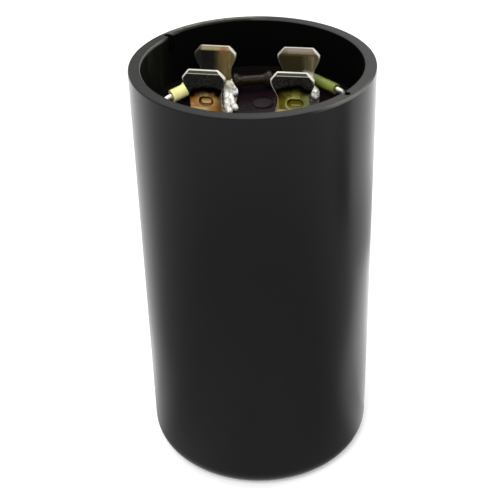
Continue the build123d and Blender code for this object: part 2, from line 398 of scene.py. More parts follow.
def turned_tree() -> GeometryTree:
    """Build the tree that turns a profile about an upright axis, as a mould or a lathe does.

    Returns:
        The tree: its source is a profile with X as radius and Z as height.
    """
    made = GeometryTree("turned_piece", Segments="Int", Axis="Vector")
    core = 0.5 * MM
    profile = made.add("GeometryNodeMeshToCurve", made.size["Geometry"])
    laid = made.add("GeometryNodeTransform", profile, Translation=(-core, 0, 0), Rotation=(math.pi / 2, 0, 0))
    ring = made.add("GeometryNodeCurvePrimitiveCircle", Resolution=made.size["Segments"], Radius=core)
    upright = made.add("GeometryNodeSetCurveNormal", ring, mode="Z_UP")
    shell = made.add("GeometryNodeCurveToMesh", upright, Profile_Curve=laid)
    outward = made.add("GeometryNodeFlipFaces", shell)
    closed = made.add("GeometryNodeMergeByDistance", outward, Distance=0.002 * MM)
    return made.finish(made.add("GeometryNodeTransform", closed, Translation=made.size["Axis"]))


def notched_tree() -> GeometryTree:
    """Build the tree that cuts evenly spaced notches into the inner edge of a rim.

    Returns:
        The tree: its source is the moulding without its notches.
    """
    lengths = dict.fromkeys(("Width", "Depth", "Drop", "First_Angle", "Mouth_Radius", "Rim_Height"), "Float")
    made = GeometryTree("notched_rim", Notches="Int", **lengths)
    size = made.size
    half_width = made.add(Step.MULTIPLY, size["Width"], 0.5)
    reach = made.add(Step.SUBTRACT, size["Depth"], half_width)
    back = made.add(Step.MULTIPLY, size["Depth"], -1.0)
    start, end = (made.add(Step.JOIN, X=place) for place in (back, reach))
    ends = made.add("GeometryNodeCurvePrimitiveLine", Start=start, End=end)
    tall = made.add(Step.MULTIPLY, size["Drop"], 2.0)
    pin = made.add("GeometryNodeMeshCylinder", Vertices=32, Radius=half_width, Depth=tall)
    spots = made.add("GeometryNodeCurveToPoints", ends, Count=2)
    pair = made.add("GeometryNodeInstanceOnPoints", spots, Instance=pin)
    slot = made.add("GeometryNodeConvexHull", made.add("GeometryNodeRealizeInstances", pair))
    share = made.add(Step.DIVIDE, made.add("GeometryNodeInputIndex"), size["Notches"])
    turn = made.add(Step.JOIN, Z=made.add(Step.MULTIPLY_ADD, share, math.tau, size["First Angle"]))
    outward = made.add(Step.JOIN, X=size["Mouth Radius"], Z=size["Rim Height"])
    seat_place = made.add("ShaderNodeVectorRotate", Vector=outward, Rotation=turn, rotation_type="EULER_XYZ")
    seats = made.add("GeometryNodePoints", Count=size["Notches"], Position=seat_place)
    cutters = made.add("GeometryNodeInstanceOnPoints", seats, Instance=slot, Rotation=turn)
    tools = made.add("GeometryNodeRealizeInstances", cutters)
    rim = {"Mesh_1": size["Geometry"], "Mesh_2": tools}
    return made.finish(made.add("GeometryNodeMeshBoolean", operation="DIFFERENCE", solver="MANIFOLD", **rim))


def formed_wire_tree() -> GeometryTree:
    """Build the tree that runs a round wire along a route with rounded bends.

    Returns:
        The tree: its source is the route's corners, each with its bend radius.
    """
    made = GeometryTree("formed_wire", Radius="Float", Around="Int", Capped="Bool")
    size = made.size
    route = made.add("GeometryNodeMeshToCurve", size["Geometry"])
    bend = made.add("GeometryNodeInputNamedAttribute", Name="bend", data_type="FLOAT")
    bent = made.add("GeometryNodeFilletCurve", route, Count=14, Radius=bend, Limit_Radius=True, mode="POLY")
    even = made.add("GeometryNodeResampleCurve", bent, Length=0.22 * MM, mode="LENGTH")
    ring = made.add("GeometryNodeCurvePrimitiveCircle", Resolution=size["Around"], Radius=size["Radius"])
    return made.finish(made.add("GeometryNodeCurveToMesh", even, Profile_Curve=ring, Fill_Caps=size["Capped"]))


def wound_roll_tree() -> GeometryTree:
    """Build the tree that winds a strip into a roll, turn on turn.

    Returns:
        The tree: its source is not used, because the roll is a rule of its sizes.
    """
    labels = ("Turns", "Bore_Radius", "Outer_Radius", "Strip", "Bottom", "Length")
    made = GeometryTree("wound_roll", **dict.fromkeys(labels, "Float"))
    size = made.size
    spiral = made.add(
        "GeometryNodeCurveSpiral", Resolution=64, Rotations=size["Turns"], Start_Radius=size["Bore Radius"],
        End_Radius=size["Outer Radius"], Height=0.0,
    )
    profile = made.add(
        "GeometryNodeCurvePrimitiveQuadrilateral", mode="RECTANGLE", Width=size["Strip"], Height=size["Length"]
    )
    upright = made.add("GeometryNodeSetCurveNormal", spiral, mode="Z_UP")
    roll = made.add("GeometryNodeCurveToMesh", upright, Profile_Curve=profile, Fill_Caps=True)
    rise = made.add(Step.ADD, made.add(Step.MULTIPLY, size["Length"], 0.5), size["Bottom"])
    return made.finish(made.add("GeometryNodeTransform", roll, Translation=made.add(Step.JOIN, Z=rise)))


def solder_flow_tree() -> GeometryTree:
    """Build the tree that runs solder along routes: beads grown together, then wrinkled as they set.

    Returns:
        The tree: its source is the routes that the solder ran along.
    """
    labels = ("Radius", "Unevenness", "Wrinkle", "Seed")
    made = GeometryTree("solder_flow", **dict.fromkeys(labels, "Float"))
    size = made.size
    route = made.add("GeometryNodeMeshToCurve", size["Geometry"])
    beads = made.add("GeometryNodeCurveToPoints", route, Length=0.18 * MM, mode="LENGTH")
    here = made.add("GeometryNodeInputPosition")
    lumps = made.add(Step.PATCHES, Vector=here, W=size["Seed"], Scale=900.0)
    shares = [made.add(step, 1.0, size["Unevenness"]) for step in (Step.SUBTRACT, Step.ADD)]
    low, high = (made.add(Step.MULTIPLY, size["Radius"], share) for share in shares)
    radius = made.add(Step.FIT, lumps, 0.3, 0.7, low, high)
    cloud = made.add(
        "GeometryNodePointsToVolume", beads, Voxel_Size=0.06 * MM, Radius=radius, resolution_mode="VOXEL_SIZE"
    )
    skin = made.add("GeometryNodeVolumeToMesh", cloud, Threshold=0.1)
    creases = made.add(Step.PATCHES, Vector=here, W=size["Seed"], Scale=700.0)
    amount = made.mask(made.add(Step.ABSOLUTE, made.add(Step.SUBTRACT, creases, 0.5)), size["Wrinkle"])
    push = made.add(Step.SCALE, made.add("GeometryNodeInputNormal"), amount)
    return made.finish(made.add("GeometryNodeSetPosition", skin, Offset=push), 1.2)


# ---- places


@dataclass(frozen=True)
class Layout:
    """Places in millimetres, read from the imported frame, and what the forks' sub-assemblies share."""

    case_radius: float
    case_height: float
    mouth_radius: float
    disc_radius: float
    disc_bottom: float
    disc_top: float
    blade_top: float
    rivet_x: float
    blade_reach: float = 4.4
    strip_thickness: float = 0.8
    half_blade: float = 3.175
    dimple_drop: float = 4.75
    fork_turn: Mapping[Side, float] = field(default_factory=lambda: {Side.LEFT: -3.2, Side.RIGHT: -1.6})

    @classmethod
    def measured(cls) -> "Layout":
        """Read the places from the boxes of the CAD nodes."""
        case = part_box("case")[1] / MM
        disc_low, disc_high = (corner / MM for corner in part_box("terminal_disc"))
        return cls(
            case_radius=case.x, case_height=case.z, mouth_radius=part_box("seal_bead")[1].x / MM,
            disc_radius=disc_high.x, disc_bottom=disc_low.z, disc_top=disc_high.z,
            blade_top=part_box("fork_terminal_right")[1].z / MM, rivet_x=centre_of("terminal_rivet_right").x,
        )

    @property
    def fork_edge(self) -> float:
        """The outer edge of the right fork before its slight turn."""
        return self.rivet_x + self.half_blade

    @property
    def fork_back(self) -> float:
        """The outer face of the back blades before the forks' slight turn."""
        return self.blade_reach + self.strip_thickness / 2

    @property
    def base_top(self) -> float:
        """The top of a fork's base."""
        return self.disc_top + self.strip_thickness

    def on_fork(self, side: Side, x: float, y: float, z: float) -> Vector:
        """Carry a place on a fork, measured from its rivet, to the capacitor's own axes."""
        turn = math.radians(self.fork_turn[side])
        c, s = math.cos(turn), math.sin(turn)
        return Vector((side.value * self.rivet_x + x * c - y * s, x * s + y * c, z))


# ---- finishes


class Surface(Wiring):
    """A material under construction, with the piece's own coordinates in millimetres."""

    def __init__(self, name: str) -> None:
        """Start a material with one Principled shader."""
        self.material = bpy.data.materials.new(name)
        self.material.use_nodes = True
        super().__init__(self.material.node_tree)
        self.shader = self.add("ShaderNodeBsdfPrincipled").node
        self.add("ShaderNodeOutputMaterial", self.shader.outputs[0])
        place = self.add("ShaderNodeTexCoord").node.outputs["Object"]
        self.mm = self.add(Step.SCALE, place, 1 / MM)
        self.x, self.y, self.z = self.add(Step.SPLIT, self.mm).node.outputs

    def patches(
        self, size: float, stretch: Sequence[float] = (1, 1, 1), detail: float = 3.0, roughness: float = 0.5
    ) -> Socket:
        """Add an uneven pattern.

        Args:
            size: Width of a patch in millimetres.
            stretch: How much longer a patch is along each axis.
            detail: Octaves of finer patches.
            roughness: Weight of the finer patches.

        Returns:
            A value round 0.5.
        """
        scaled = self.add("ShaderNodeMapping", self.mm, Scale=tuple(1 / s for s in stretch))
        return self.add("ShaderNodeTexNoise", scaled, Scale=1 / size, Detail=detail, Roughness=roughness)

    def coats(self, colour: Socket | str, *over: tuple[Socket | float, Socket | str]) -> Socket:
        """Lay colours over one another, each by its mask."""
        for mask, coat in over:
            colour = self.add(Step.BLEND, mask, colour, coat)
        return colour

    def stored(self, label: str) -> Sequence[Socket]:
        """The three values that each of the piece's vertices has under an attribute's name."""
        mark = self.add("ShaderNodeAttribute", attribute_name=label).node
        return self.add(Step.SPLIT, mark.outputs["Vector"]).node.outputs

    def dress(self, **inputs: object) -> Material:
        """Set or link the shader's inputs, named with underscores, and return the material."""
        for name, value in inputs.items():
            self.fill(self.shader.inputs[name.replace("_", " ")], value)
        return self.material


@dataclass(frozen=True)
class BlackPhenolic:
    """Compression-moulded black phenolic: near black, a broad soft gloss, a rim sanded matte grey.

    The outside shows flow marks as slow changes of gloss, the inside is duller with smeared streaks,
    and the rim is speckled where the sander opened the filler; its grey is painted lighter towards the
    right as painted light. Part of the back was sanded thin and paler, with the inner half of that patch
    painted dark as painted shade, and painted highlights run along the corners at the right front and
    round the left of the mouth.
    """

    place: Layout
    body: tuple[str, str] = ("#080809", "#0c0c0e")
    bore: str = "#040404"
    smeared: str = "#26281f"
    sanded: tuple[str, str] = ("#2f2f2e", "#434342")
    worn: str = "#686b60"
    worn_inner: str = "#141412"
    worn_angle: float = 119.0
    edge_highlight: str = "#6c6d68"

    def build(self) -> Material:
        """Make the material."""
        s = Surface("black_moulded_phenolic")
        rim, mouth, outer = self.place.case_height, self.place.mouth_radius, self.place.case_radius
        flow = s.patches(9.0, (1, 1, 2.4), 4)
        grit = s.patches(0.16, detail=2)
        away = s.add(Step.LENGTH, s.add(Step.JOIN, s.x, s.y))
        angle = s.add(Step.BEARING, s.y, s.x)
        turned = s.add(Step.ABSOLUTE, angle)
        near_rim = s.mask((s.z, rim - 0.16, rim - 0.02))
        inside = s.mask((away, mouth + 0.5, mouth + 0.1))

        streak = s.mask((s.patches(1.6, (1, 1, 9), 3), 0.52, 0.72))
        streaked = s.mask(inside, (s.x, -13.6, -16.0), s.add(Step.MULTIPLY_ADD, streak, 0.7, 0.3))
        walls = s.coats(self.body[0], (flow, self.body[1]), (inside, self.bore), (streaked, self.smeared))

        # Painted light: the sanded grey lightens from left to right across the rim.
        even = s.coats(self.sanded[0], (s.mask((s.x, -9.0, 20.0)), self.sanded[1]))
        grey = s.coats(s.coats(even, (0.3, self.bore)), (s.mask((grit, 0.3, 0.7)), even))
        off = s.add(Step.ABSOLUTE, s.add(Step.SUBTRACT, angle, math.radians(self.worn_angle)))
        thinned = s.mask((off, 0.56, 0.32))
        speckle = s.add(Step.MULTIPLY_ADD, s.mask((s.patches(0.8, detail=3), 0.32, 0.62)), 0.45, 0.4)
        # Painted shade: the inner half of the thinned patch is dark, as a chamfer in shade.
        inner_half = s.mask(thinned, (away, mouth + 0.85, mouth + 0.65))
        sunk = s.coats(grey, (s.mask(thinned, speckle), self.worn), (inner_half, self.worn_inner))

        # Painted highlights: a light line along the outer corner at the right front and the inner corner round
        # the left of the mouth.
        outer_line = s.mask((away, outer - 0.3, outer - 0.18), (angle, -1.05, -0.7), (angle, -0.15, -0.4), 0.6)
        inner_line = s.mask((away, mouth + 0.16, mouth + 0.08), (turned, 2.58, 2.72))
        edge_highlight = s.mask((s.z, rim - 0.5, rim - 0.3), s.add(Step.LARGER, outer_line, inner_line))
        colour = s.coats(walls, (near_rim, sunk), (edge_highlight, self.edge_highlight))

        dull = s.add(Step.MIX, inside, s.add(Step.FIT, flow, To_Min=0.17, To_Max=0.30), 0.42)
        rough = s.add(Step.MIX, near_rim, dull, 0.65)
        shine = s.add(Step.MIX, inside, 0.12, 0.05)
        fine = s.add(Step.BUMP, Height=s.patches(0.9, detail=2), Strength=0.035, Distance=0.0002)
        bump = s.add(Step.BUMP, Height=s.mask(grit, near_rim), Strength=0.35, Distance=0.0001, Normal=fine)
        return s.dress(Base_Color=colour, Roughness=rough, IOR=1.5, Specular_IOR_Level=shine, Normal=bump)


@dataclass(frozen=True)
class BrownPhenolic:
    """Moulded dark brown phenolic of the terminal disc: glossy and slightly cloudy, with a film of flux."""

    dark: str = "#0d070a"
    light: str = "#1a0e13"

    def build(self) -> Material:
        """Make the material."""
        s = Surface("brown_moulded_phenolic")
        colour = s.coats(self.dark, (s.patches(3.0, detail=4), self.light))
        rough = s.add(Step.FIT, s.patches(1.2), To_Min=0.14, To_Max=0.38)
        bump = s.add(Step.BUMP, Height=s.patches(0.8), Strength=0.08, Distance=0.0002)
        return s.dress(Base_Color=colour, Roughness=rough, IOR=1.5, Specular_IOR_Level=0.25, Normal=bump)


@dataclass(frozen=True)
class TinnedBrass:
    """Tin-plated brass strip, read from the strip's own places rather than the capacitor's.

    Smooth plate mirrors the dark well; the cut edges are paler and rougher, with painted shade on the tip's
    bevel band and a painted highlight under it; flux has run amber on the outer faces of the front blades,
    with painted shade in the pressed dimples' grooves and painted highlights round their lower halves; the
    back blades' inner faces carry a painted reflection of the dark well and a pale foot that is a solder
    wash and also a painted highlight, and solder lies over their feet.
    """

    place: Layout
    side: Side
    flux: tuple[str, str, str]  # on the front blade: thick, thin, and towards its right edge
    flux_rise: float  # height over which it thickens
    flux_drop: float  # how far below the tip it starts
    upper_dark_and_ring_shade: str  # dark along the flux's upper edge, and painted shade in the pressed ring's groove
    pale_highlight: str  # painted highlight in a pale flux tone, on the dimple's floor and at the blade's foot
    pale_from: float  # place across the blade past which the flux is thin in patches
    ring_light: float  # how much light the ring's lower half returns
    painted_reflection: tuple[str, str]  # painted reflection on the back blade's inner face: its left part and its right part
    painted_reflection_edge: float  # place across the blade where the one turns to the other
    painted_reflection_drop: float  # how far below the tip it ends
    lip: str  # just under the back blade's tip
    lip_drop: float  # how far down the lip reaches
    crease: float  # strength of the brown line under the lip and of the bright foot
    flush: float  # strength of the copper flush in the middle
    edge_film: float  # strength of the painted shade on the left corner
    plate: tuple[str, str] = ("#c9c5b6", "#ece9df")
    fleck: str = "#8f8a78"
    base_film: str = "#352c1d"
    brightened: str = "#a89a70"
    foot: tuple[str, str] = ("#d6d3c0", "#fbfaf2")
    bevel: str = "#454139"
    crease_tint: str = "#5c4710"
    flush_tint: str = "#8a4f3c"
    cut: tuple[str, str] = ("#dbd5c9", "#b3976a")
    corner_film: str = "#24221d"

    def flux_colour(self, s: Surface, x: Socket, z: Socket, wall: Socket, thin: Socket) -> Socket:
        """Colour the flux on the front blade, with painted shade in the dimple's groove and painted
        highlights on its floor and round its lower half.

        Args:
            s: The material.
            x: Place across the blade.
            z: Height.
            wall: Distance from the dimple's wall, less than 0 inside it.
            thin: 0 along the flux's dark upper edge, 1 below it.

        Returns:
            The colour.
        """
        mid = self.place.blade_top - self.place.dimple_drop
        clear = s.mask((wall, -0.1, 0.25), (z, mid - 0.9, mid - 0.3))
        patchy = s.patches(1.2, detail=2)
        pale = s.mask((patchy, 0.40, 0.60), (x, self.pale_from - 0.8, self.pale_from + 0.8), clear)
        spread = s.coats(self.flux[0], (pale, self.flux[1]), (s.mask((x, 0.8, 2.4)), self.flux[2]))
        # Painted highlight: a pale flux tone at the blade's lower left.
        foot = s.mask((z, mid - 0.75, mid - 1.15), (x, 0.9, -0.3), 0.8)
        lower = s.mask((z, mid + 0.5, mid - 0.5))
        # Painted highlights round the dimple's lower half and on its floor, and painted shade in its groove,
        # darkest along its top.
        halo = s.mask((wall, 0.0, 0.1), (wall, 0.45, 0.2))
        halo_lit = s.mask(halo, (x, 2.6, -0.8), s.add(Step.MULTIPLY_ADD, lower, 0.6, 0.4), self.ring_light)
        floor_lit = s.mask((wall, -0.30, -0.45), (z, mid + 0.35 - 0.5 * self.ring_light, mid - 0.35), 0.85)
        groove = s.mask((wall, -0.40, -0.24), (wall, 0.07, -0.04))
        dark_ring = s.mask(groove, s.add(Step.MULTIPLY_ADD, lower, -0.9 * self.ring_light, 1.0))
        return s.coats(
            self.upper_dark_and_ring_shade, (thin, spread), (foot, self.pale_highlight), (halo_lit, self.flux[1]),
            (floor_lit, self.pale_highlight), (dark_ring, self.upper_dark_and_ring_shade),
        )

    def back_colour(
        self, s: Surface, x: Socket, z: Socket, wave: Socket, back_inner: Socket, plated: Socket,
        base_film: Socket,
    ) -> Socket:
        """Colour the back blade's inner face: a painted reflection, dark on the left and tan in streaks to
        the right, and a pale foot of solder wash and painted highlight.

        Args:
            s: The material.
            x: Place across the blade.
            z: Height.
            wave: Height with an uneven offset.
            back_inner: 1 on that face.
            plated: The colour of clean plate.
            base_film: 1 where flux has filmed over the strip's base.

        Returns:
            The colour, which is the clean plate's elsewhere.
        """
        top, base = self.place.blade_top + 0.8, self.place.base_top
        ends = top - self.painted_reflection_drop
        face = s.mask(back_inner, (wave, ends - 0.6, ends + 0.6))
        # Painted reflection of the dark well: a dark left part and a tan right part with streaks, its edge
        # bent by streaks and moved right near the foot.
        streaked = s.patches(0.55, (1, 1, 5), 3)
        low = s.mask((z, top - 4.6, top - 5.8), -1.1)
        across = s.add(Step.ADD, s.add(Step.MULTIPLY_ADD, streaked, 1.6, x), low)
        right = s.mask((across, self.painted_reflection_edge + 0.2, self.painted_reflection_edge + 1.9))
        brightened = s.mask((x, 0.6, 2.4), (streaked, 0.48, 0.66), 0.35)
        dull = s.coats(self.painted_reflection[0], (right, self.painted_reflection[1]), (brightened, self.brightened))
        shaded = s.add(Step.LARGER, face, s.mask(back_inner, s.add(Step.SUBTRACT, 1.0, right)))
        # Pale foot: a solder wash, also painted as a highlight where the plate would mirror the dark well.
        wash_and_highlight = s.mask(back_inner, s.add(Step.SUBTRACT, 1.0, face), right, (z, base + 0.5, base + 1.1))
        bright = s.coats(self.foot[0], (s.mask((z, top - 3.0, top - 5.4), self.crease), self.foot[1]))
        return s.coats(plated, (shaded, dull), (base_film, self.base_film), (wash_and_highlight, bright))

    def build(self) -> Material:
        """Make the material."""
        s = Surface(f"tinned_brass_strip_{self.side.label}")
        x, y, z = s.stored("strip")
        edge, outer, wall = s.stored("marks")
        drop = s.add(Step.SUBTRACT, self.place.blade_top, z)
        inner = s.add(Step.SUBTRACT, 1.0, outer)
        front = s.mask((y, -3.0, -3.6), outer)
        back = s.mask((y, 3.0, 3.6))
        back_inner = s.mask(back, inner)
        cloud = s.patches(1.4, detail=4)
        wave = s.add(Step.MULTIPLY_ADD, cloud, 1.6, z)
        flecks = s.mask((s.patches(0.5, detail=4, roughness=0.6), 0.60, 0.68), front)
        plated = s.coats(self.plate[0], (cloud, self.plate[1]), (flecks, self.fleck))
        base = self.place.base_top
        base_film = s.mask(inner, (z, base + 1.0, base + 0.5), (s.patches(1.8, detail=3), 0.2, 0.4), 0.9)
        backed = self.back_colour(s, x, z, wave, back_inner, plated, base_film)

        start = self.place.blade_top + 0.8 - self.flux_drop
        bowed = s.add(Step.MULTIPLY_ADD, s.add(Step.SUBTRACT, x, 1.0), s.mask(x, 0.12), wave)
        thin = s.mask((bowed, start - 0.25 * self.flux_rise, start - self.flux_rise - 0.4))
        stain = s.mask(front, (bowed, start, start - self.flux_rise))
        tinge = s.mask(front, (bowed, start + 0.7, start))

        # Painted shade on the tip's bevel band.
        band = s.mask(s.mask((drop, 0.0, 0.06), (drop, 0.41, 0.37)), s.add(Step.SUBTRACT, 1.0, edge))
        end = self.lip_drop
        lipped = s.mask(back_inner, (drop, 0.0, 0.1), (drop, end + 0.15, end), (cloud, 0.2, 0.45))
        creased = s.mask(back_inner, (drop, end + 0.05, end + 0.2), (drop, end + 0.5, end + 0.3), self.crease)
        off = s.add(Step.ABSOLUTE, s.add(Step.SUBTRACT, x, 1.35))
        flushed = s.mask(back_inner, (off, 0.75, 0.25), (drop, 1.9, 1.0), self.flush)
        # Painted highlight: a thin pale line just under the bevel, on the front blades.
        tip_glint = s.mask((drop, 0.40, 0.43), (drop, 0.51, 0.48))
        # Bare cut edges, also carrying the painted light of the edge marks and the painted line under the
        # bevel.
        bare = s.add(Step.LARGER, edge, s.mask(tip_glint, front, 0.7))
        cut = s.coats(self.cut[0], (s.mask((drop, 2.6, 4.2)), self.cut[1]))
        # Painted shade on the back blades' left corner.
        corner = s.mask(back, (x, -1.8, -2.3), self.edge_film)
        colour = s.coats(
            backed, (tinge, self.flux_colour(s, x, z, wall, thin)), (band, self.bevel), (lipped, self.lip),
            (creased, self.crease_tint), (flushed, self.flush_tint), (bare, cut), (corner, self.corner_film),
        )

        # Mostly non-metal over the back blades' inner faces, so that the painted reflection shows as colour.
        filmed = s.add(Step.MULTIPLY_ADD, back_inner, 0.88, 0.025)
        covered = s.add(Step.LARGER, s.add(Step.LARGER, stain, filmed), s.mask(base_film, 0.8))
        sheared = s.mask(s.add(Step.LARGER, bare, band), 0.6)
        metal = s.add(Step.FIT, s.add(Step.LARGER, covered, sheared), To_Min=1.0, To_Max=0.12)
        fluxed = s.add(Step.MIX, covered, s.add(Step.FIT, cloud, To_Min=0.10, To_Max=0.17), 0.38)
        rough = s.add(Step.MIX, sheared, s.add(Step.MULTIPLY_ADD, flecks, 0.2, fluxed), 0.7)
        bump = s.add(Step.BUMP, Height=s.patches(0.35, detail=3), Strength=0.12, Distance=0.0001)
        return s.dress(Base_Color=colour, Metallic=metal, Roughness=rough, Normal=bump)


@dataclass(frozen=True)
class PlainMetal:
    """A plain metal surface, patchy in tint and gloss as handled metal is."""

    name: str
    dark: str
    light: str
    gloss: tuple[float, float] = (0.2, 0.4)
    patch: float = 0.8
    lumps: float = 0.15

    def build(self) -> Material:
        """Make the material."""
        s = Surface(self.name)
        colour = s.coats(self.dark, (s.patches(self.patch, detail=4), self.light))
        rough = s.add(Step.FIT, s.patches(self.patch * 0.5), To_Min=self.gloss[0], To_Max=self.gloss[1])
        bump = s.add(Step.BUMP, Height=s.patches(self.patch * 0.4), Strength=self.lumps, Distance=0.0002)
        return s.dress(Base_Color=colour, Metallic=1.0, Roughness=rough, Normal=bump)


@dataclass(frozen=True)
class SolderMetal:
    """Tin-lead solder: satin white, softly creased where it set, with a film of flux where it climbed."""

    film_start: float
    white: tuple[str, str] = ("#dcdbd4", "#f6f5f0")
    film: str = "#a19d72"

    def build(self) -> Material:
        """Make the material."""
        s = Surface("tin_lead_solder")
        start = self.film_start
        film = s.mask((s.z, start, start + 1.0), (s.patches(0.7, detail=2), 0.3, 0.6), 0.8)
        rough = s.add(Step.FIT, s.patches(0.5), To_Min=0.34, To_Max=0.5)
        bump = s.add(Step.BUMP, Height=s.patches(0.8, detail=1), Strength=0.3, Distance=0.0003)
        colour = s.coats(self.white[0], (s.patches(0.9, detail=4), self.white[1]), (film, self.film))
        return s.dress(Base_Color=colour, Metallic=0.55, Roughness=rough, Normal=bump)


@dataclass(frozen=True)
class DullCoat:
    """A non-metal coat, such as rubber, lacquer, sleeving, paper or pitch."""

    name: str
    dark: str
    light: str
    gloss: tuple[float, float] = (0.4, 0.6)
    patch: float = 1.0
    stretch: Point3 = (1, 1, 1)
    lumps: float = 0.1
    shine: float = 0.5

    def build(self) -> Material:
        """Make the material."""
        s = Surface(self.name)
        cloud = s.patches(self.patch, self.stretch, 4)
        colour = s.coats(self.dark, (cloud, self.light))
        rough = s.add(Step.FIT, cloud, To_Min=self.gloss[0], To_Max=self.gloss[1])
        lumps = s.patches(self.patch * 0.35, self.stretch)
        bump = s.add(Step.BUMP, Height=lumps, Strength=self.lumps, Distance=0.0002)
        coat = {"Base_Color": colour, "Roughness": rough, "IOR": 1.5, "Normal": bump}
        return s.dress(Specular_IOR_Level=self.shine, **coat)


# ---- the capacitor


@dataclass
class MouldedCase:
    """The phenolic case: straight outside, thick wall, sanded rim with two notches."""

    place: Layout
    lower_wall: float = 2.9
    ledge_drop: float = 11.7
    base_thickness: float = 2.6
    base_edge_radius: float = 3.5
    base_corner_radius: float = 0.9
    rim_edge_radius: float = 0.3
    small_edge_radius: float = 0.15
    base_recess_radius: float = 11.0
    base_recess_depth: float = 0.4
    notches: int = 2
    notch_width: float = 1.0
    notch_depth: float = 1.25
    notch_drop: float = 3.0
    notch_angle: float = 146.5

    def profile(self) -> list[Point2]:
        """Draw the wall's section, with radius as X and height as Z."""
        radius, height, mouth = self.place.case_radius, self.place.case_height, self.place.mouth_radius
        inner, ledge, floor = radius - self.lower_wall, height - self.ledge_drop, self.base_thickness
        recess, depth, small = self.base_recess_radius, self.base_recess_depth, self.small_edge_radius
        corners = {
            (0, depth): 0, (recess, depth): small, (recess + depth, 0): small,
            (radius, 0): self.base_edge_radius, (radius, height): self.rim_edge_radius,
            (mouth, height): small, (mouth, ledge): 0, (inner, ledge): 0,
            (inner, floor): self.base_corner_radius, (0, floor): 0,
        }
        return rounded(list(corners), list(corners.values()), 10)

    def build(self, turned: GeometryTree, notched: GeometryTree, finish: Material) -> None:
        """Turn the case and notch its rim."""
        section = wire_mesh("case_section", [(r, 0, z) for r, z in self.profile()], closed=False)
        plain = turned.grow("case_plain", section, finish, Segments=256, Axis=(0, 0, 0))
        shell = notched.grow(
            "case_shell", plain.data, finish, Notches=self.notches, First_Angle=math.radians(self.notch_angle),
            Width=self.notch_width * MM, Depth=self.notch_depth * MM, Drop=self.notch_drop * MM,
            Mouth_Radius=self.place.mouth_radius * MM, Rim_Height=self.place.case_height * MM,
        )
        bpy.data.objects.remove(plain)
        seat(shell, "case_phenolic", "case")


@dataclass(frozen=True)
class Turning:
    """A small piece that is turned from a profile: radius and height of its section's points."""

    name: str
    slot: str
    node: str
    profile: Sequence[Point2]
    segments: int
    centre: Point2 = (0.0, 0.0)

    def build(self, turned: GeometryTree, finish: Material) -> None:
        """Turn the piece at its place."""
        closed = self.profile[0][0] > 0
        section = wire_mesh(self.name + "_section", [(r, 0, z) for r, z in self.profile], closed)
        axis = (self.centre[0] * MM, self.centre[1] * MM, 0)
        piece = turned.grow(self.name, section, finish, Segments=self.segments, Axis=axis)
        seat(piece, self.slot, self.node)


@dataclass
class TerminalEnd:
    """What lies round the forks: the terminal disc, its bead, the rivets' heads and the vent plug."""

    place: Layout
    disc_edges: Point2 = (0.15, 0.25)
    bead_height: float = 0.7
    bead_width: float = 0.9
    bead_hollow: Point2 = (0.3, 0.28)
    bead_edges: Point3 = (0.03, 0.5, 0.05)
    rivet: Point3 = (1.85, 0.22, 0.58)  # radius, upright edge and dome
    vent: Point3 = (1.6, 0.12, 0.28)

    def pieces(self) -> list[Turning]:
        """Draw the disc, the bead, both rivets and the vent plug."""
        p = self.place
        mouth, low, top = p.mouth_radius, p.disc_bottom, p.disc_top
        disc = rounded(
            [(0, low), (p.disc_radius, low), (p.disc_radius, top), (0, top)], [0, *self.disc_edges, 0], 4
        )
        hollow = (mouth - self.bead_hollow[0], top + self.bead_hollow[1])
        bead = rounded(
            [(mouth, top), (mouth, top + self.bead_height), hollow, (mouth - self.bead_width, top)],
            [0, *self.bead_edges], 5,
        )
        head = domed(self.rivet[0], p.base_top, *self.rivet[1:], 14)
        button, middle = domed(self.vent[0], top, *self.vent[1:], 12), centre_of("vent_plug")
        rivets = [
            Turning(
                f"rivet_{side.label}", "rivet_brass", f"terminal_rivet_{side.label}", head, 72,
                (side.value * p.rivet_x, 0.0),
            )
            for side in Side
        ]
        return [
            Turning("disc_shape", "disc_phenolic", "terminal_disc", disc, 192),
            Turning("bead_shape", "sealant", "seal_bead", bead, 192), *rivets,
            Turning("vent_button", "vent_rubber", "vent_plug", button, 64, (middle.x, middle.y)),
        ]

    def build(self, turned: GeometryTree, finishes: Mapping[str, Material]) -> None:
        """Turn every piece."""
        for piece in self.pieces():
            piece.build(turned, finishes[piece.slot])


